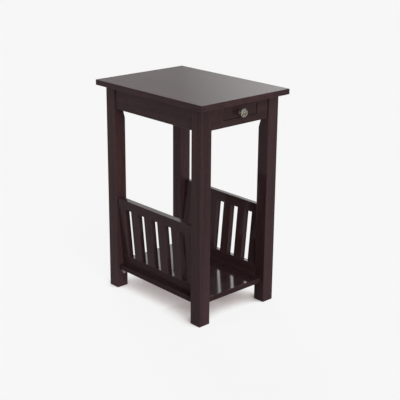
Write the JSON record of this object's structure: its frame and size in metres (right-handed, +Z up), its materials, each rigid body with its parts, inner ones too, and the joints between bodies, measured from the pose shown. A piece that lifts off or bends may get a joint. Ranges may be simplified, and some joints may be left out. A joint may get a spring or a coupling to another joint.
{
  "type": "magazine table",
  "caption": "Small dark wood side table with square legs, a drawer with a round knob, a low shelf and leaning slatted magazine racks along both sides.",
  "frame": {"origin": "on the floor under the middle of the table top", "axes": "+X across the table from the left rack to the right one as seen from the drawer, +Y from the drawer side to the back, +Z up"},
  "size_m": [0.318, 0.432, 0.61],
  "materials": {
    "espresso_wood": "satin lacquer over a dark red-brown stain",
    "bare_wood": "sanded, unstained",
    "zinc_steel": "zinc plated",
    "nickel_steel": "bright nickel",
    "pewter": "cast, dull antique pewter"
  },
  "bodies": {
    "table_frame": {"apron_back": "espresso_wood", "apron_front": "espresso_wood", "apron_left": "espresso_wood", "apron_right": "espresso_wood", "bolt_nuts": "zinc_steel", "bolt_washers": "zinc_steel", "corner_block_back_left": "bare_wood", "corner_block_back_right": "bare_wood", "corner_block_front_left": "bare_wood", "corner_block_front_right": "bare_wood", "drawer_runner_left": "bare_wood", "drawer_runner_right": "bare_wood", "hanger_bolts": "zinc_steel", "leg_back_left": "espresso_wood", "leg_back_right": "espresso_wood", "leg_front_left": "espresso_wood", "leg_front_right": "espresso_wood", "rack_dowels": "bare_wood", "rack_left_end_slat_back": "espresso_wood", "rack_left_end_slat_front": "espresso_wood", "rack_left_foot_rail": "espresso_wood", "rack_left_slat_1": "espresso_wood", "rack_left_slat_2": "espresso_wood", "rack_left_slat_3": "espresso_wood", "rack_left_slat_4": "espresso_wood", "rack_left_top_rail": "espresso_wood", "rack_right_end_slat_back": "espresso_wood", "rack_right_end_slat_front": "espresso_wood", "rack_right_foot_rail": "espresso_wood", "rack_right_slat_1": "espresso_wood", "rack_right_slat_2": "espresso_wood", "rack_right_slat_3": "espresso_wood", "rack_right_slat_4": "espresso_wood", "rack_right_top_rail": "espresso_wood", "runner_dowels": "bare_wood", "shelf": "espresso_wood", "shelf_pins": "nickel_steel", "table_top": "espresso_wood", "top_screws": "zinc_steel"},
    "drawer": {"drawer_front": "espresso_wood", "drawer_side_left": "bare_wood", "drawer_side_right": "bare_wood", "drawer_back": "bare_wood", "drawer_bottom": "bare_wood", "drawer_dowels": "bare_wood", "drawer_knob": "pewter", "knob_screw": "zinc_steel"}
  },
  "joints": [
    {"name": "drawer_slide", "type": "slide", "parent": "table_frame", "child": "drawer", "axis": [0, -1, 0], "range_m": [0, 0.18]}
  ]
}
